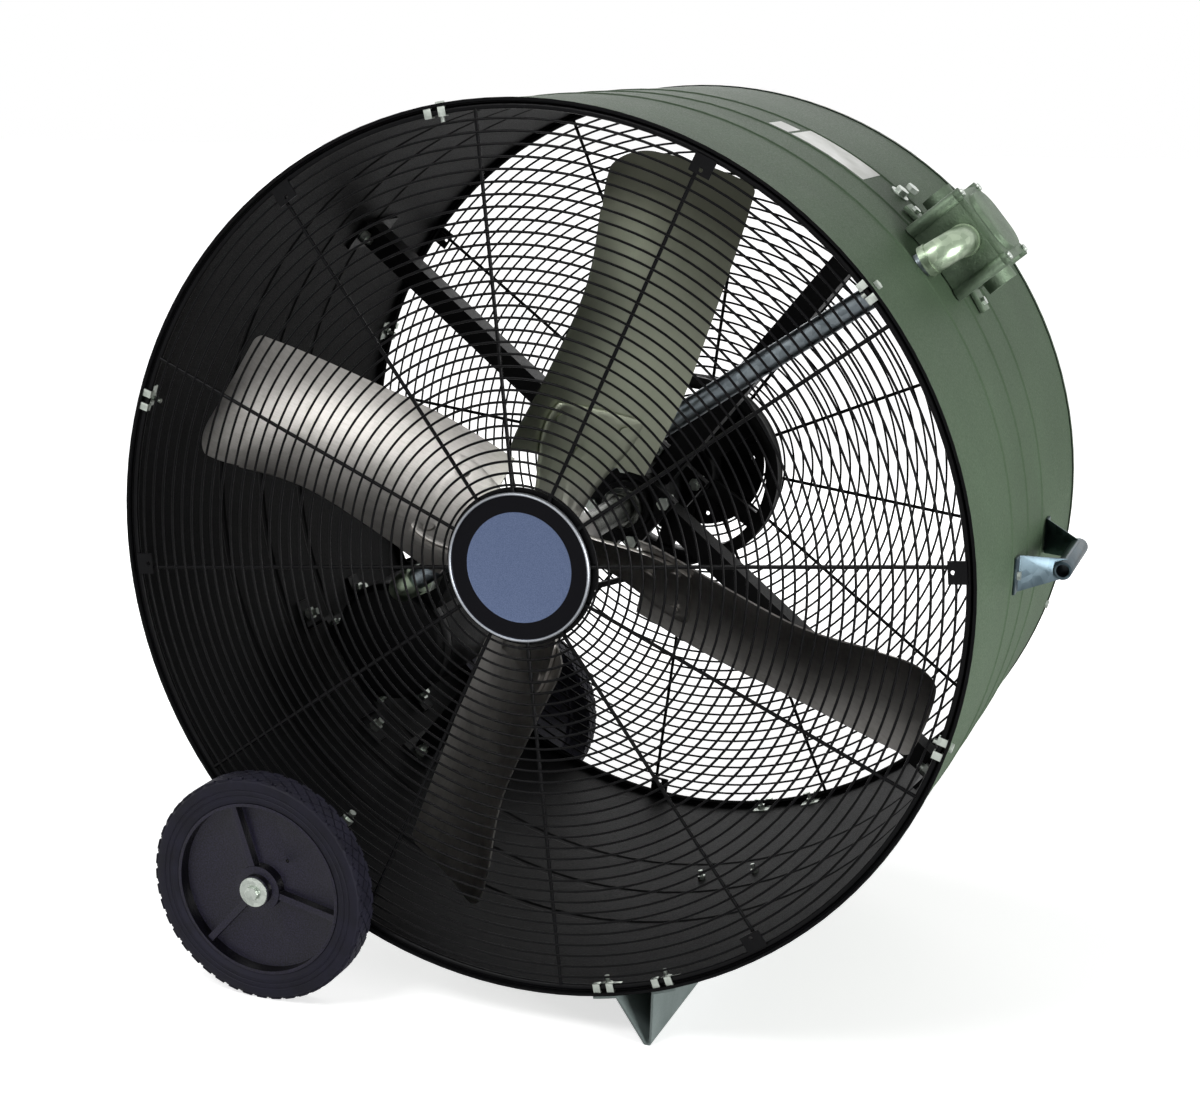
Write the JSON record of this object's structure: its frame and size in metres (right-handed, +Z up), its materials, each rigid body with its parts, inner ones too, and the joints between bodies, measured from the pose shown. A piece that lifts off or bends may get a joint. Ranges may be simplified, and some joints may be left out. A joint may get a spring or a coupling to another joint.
{
  "type": "portable drum fan",
  "caption": "Belt-drive drum fan in a steel barrel with wire guards, two wheels and a folded leg; the fan, its belt drive and the wheels turn.",
  "frame": {"origin": "on the floor, under the middle of the whole object's bounding box", "axes": "+Z up, -Y the way the air leaves, +X to the right seen from the front"},
  "size_m": [1.1692, 0.849, 1.1544],
  "materials": {
    "drum_paint": "olive powder coat with a fine texture",
    "black_paint": "satin black paint",
    "black_wire": "black coated wire",
    "zinc": "bright zinc plate",
    "mill_blade": "dull mill finish",
    "shaft_steel": "turned steel",
    "cast_box": "sand cast with machined rims",
    "medallion_face": "brushed with a black band",
    "tyre_rubber": "black rubber with a grey sheen",
    "rim_plastic": "black moulded plastic",
    "belt_rubber": "fabric-wrapped rubber",
    "copper_core": "varnished windings on steel sheets",
    "rotor_steel": "turned steel sheets"
  },
  "bodies": {
    "root": {"drum": "drum_paint", "leg": "drum_paint", "guard_clips": "zinc", "clip_bolts": "zinc", "front_guard": "black_wire", "rear_guard": "black_wire", "guard_tabs": "black_paint", "medallion": "medallion_face", "medallion_plate": "black_paint", "rear_disc": "black_paint", "axle": "zinc", "axle_bolts": "zinc", "axle_washers": "zinc", "hub_bolts": "zinc", "side_bracket": "zinc", "frame_arm_1": "black_paint", "frame_arm_2": "black_paint", "frame_arm_3": "black_paint", "frame_arm_4": "black_paint", "frame_bolts": "zinc", "bearing_tube": "black_paint", "bearing_front": "black_paint", "bearing_rear": "black_paint", "bearing_bolts": "zinc", "belt": "belt_rubber", "motor_frame": "black_paint", "motor_bell_front": "black_paint", "motor_bell_rear": "black_paint", "stator": "copper_core", "motor_cradle": "black_paint", "motor_rails": "black_paint", "rail_bolts": "zinc", "cradle_bolts": "zinc", "terminal_box": "black_paint", "conduit": "zinc", "wall_elbow": "zinc", "motor_elbow": "zinc", "gland_nut": "zinc", "junction_box": "cast_box", "box_cover": "cast_box", "cover_screws": "zinc", "wall_bolts": "zinc"},
    "fan": {"fan_shaft": "shaft_steel", "shaft_collars": "shaft_steel", "spider": "mill_blade", "blade_1": "mill_blade", "blade_2": "mill_blade", "blade_3": "mill_blade", "blade_4": "mill_blade", "rivets": "mill_blade", "sheave": "black_paint", "sheave_bushing": "black_paint"},
    "motor_rotor": {"rotor": "rotor_steel", "motor_shaft": "shaft_steel", "motor_pulley": "black_paint"},
    "wheel_front": {"tyre_front": "tyre_rubber", "rim_front": "rim_plastic"},
    "wheel_rear": {"tyre_rear": "tyre_rubber", "rim_rear": "rim_plastic"}
  },
  "joints": [
    {"name": "fan_spin", "type": "hinge", "parent": "root", "child": "fan", "pos_m": [-0.03008, 0, 0.59992], "axis": [0, -1, 0], "continuous": true},
    {"name": "motor_spin", "type": "hinge", "parent": "root", "child": "motor_rotor", "pos_m": [-0.38009, 0, 0.37694], "axis": [0, -1, 0], "continuous": true},
    {"name": "wheel_front_spin", "type": "hinge", "parent": "root", "child": "wheel_front", "pos_m": [-0.37906, -0.393, 0.1524], "axis": [0, -1, 0], "continuous": true},
    {"name": "wheel_rear_spin", "type": "hinge", "parent": "root", "child": "wheel_rear", "pos_m": [-0.37906, 0.393, 0.1524], "axis": [0, -1, 0], "continuous": true}
  ],
  "couplings": [
    {"joint": "motor_spin", "follows": "fan_spin", "ratio": 3.5455}
  ]
}
